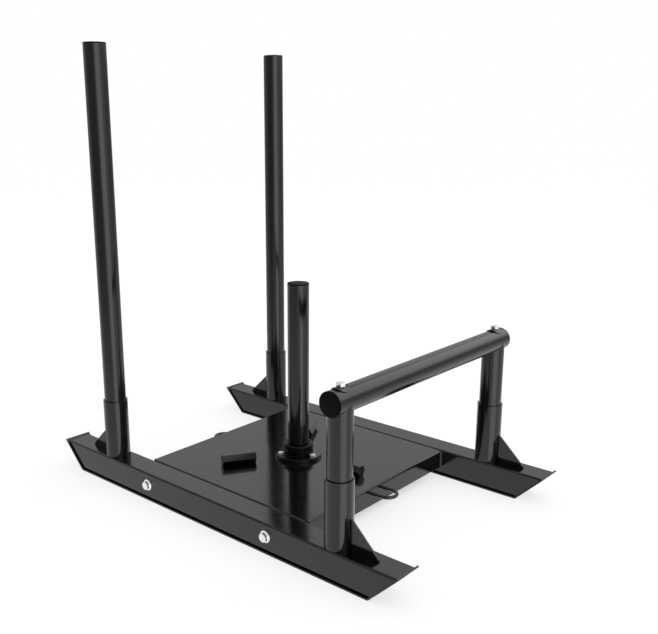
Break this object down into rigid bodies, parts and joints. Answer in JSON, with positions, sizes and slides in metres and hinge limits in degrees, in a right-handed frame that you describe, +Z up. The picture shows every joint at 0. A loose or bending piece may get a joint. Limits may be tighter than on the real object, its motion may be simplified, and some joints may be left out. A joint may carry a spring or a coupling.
{
  "type": "weight sled",
  "caption": "Push and pull weight sled: runners on bent skids, a bolted tray with a plate post, lift-out push poles and a lift-out low handlebar.",
  "frame": {"origin": "on the floor under the middle of the sled, at the bottom centre of its bounding box", "axes": "+X along the runners towards the handlebar end, +Y to the left runner, +Z up"},
  "size_m": [1.0114, 0.6404, 1.007],
  "materials": {
    "paint": "gloss black powder coat on steel",
    "skid": "gloss black powder coat on bent steel strip",
    "zinc": "bright zinc plate",
    "cap": "moulded black plastic, fine satin"
  },
  "bodies": {
    "sled": {"left_runner": "paint", "right_runner": "paint", "left_skid": "skid", "right_skid": "skid", "tray": "paint", "front_left_socket": "paint", "front_right_socket": "paint", "rear_left_socket": "paint", "rear_right_socket": "paint", "front_left_gusset": "paint", "front_right_gusset": "paint", "rear_left_gusset": "paint", "rear_right_gusset": "paint", "front_rest_bar": "paint", "left_rest_bar": "paint", "right_rest_bar": "paint", "post_flange": "paint", "post_sleeve": "paint", "flange_bolts": "zinc", "flange_washers": "zinc", "flange_nuts": "zinc", "front_tow_loop": "paint", "rear_tow_loop": "paint", "runner_bolts": "zinc", "outer_washers": "zinc", "inner_washers": "zinc", "runner_nuts": "zinc"},
    "left_push_pole": {"left_pole": "paint", "left_pole_cap": "cap"},
    "right_push_pole": {"right_pole": "paint", "right_pole_cap": "cap"},
    "handlebar_frame": {"handlebar": "paint", "left_bar_post": "paint", "right_bar_post": "paint", "left_bar_cap": "cap", "right_bar_cap": "cap", "left_saddle": "paint", "right_saddle": "paint", "bar_bolts": "zinc", "nut_plates": "paint", "bar_nuts": "zinc"},
    "post": {"weight_post": "paint", "weight_post_cap": "cap"}
  },
  "joints": [
    {"name": "left_pole_lift", "type": "slide", "parent": "sled", "child": "left_push_pole", "axis": [0, 0, 1], "range_m": [0, 0.15]},
    {"name": "right_pole_lift", "type": "slide", "parent": "sled", "child": "right_push_pole", "axis": [0, 0, 1], "range_m": [0, 0.15]},
    {"name": "handlebar_lift", "type": "slide", "parent": "sled", "child": "handlebar_frame", "axis": [0, 0, 1], "range_m": [0, 0.15]},
    {"name": "post_lift", "type": "slide", "parent": "sled", "child": "post", "axis": [0, 0, 1], "range_m": [0, 0.04]}
  ]
}
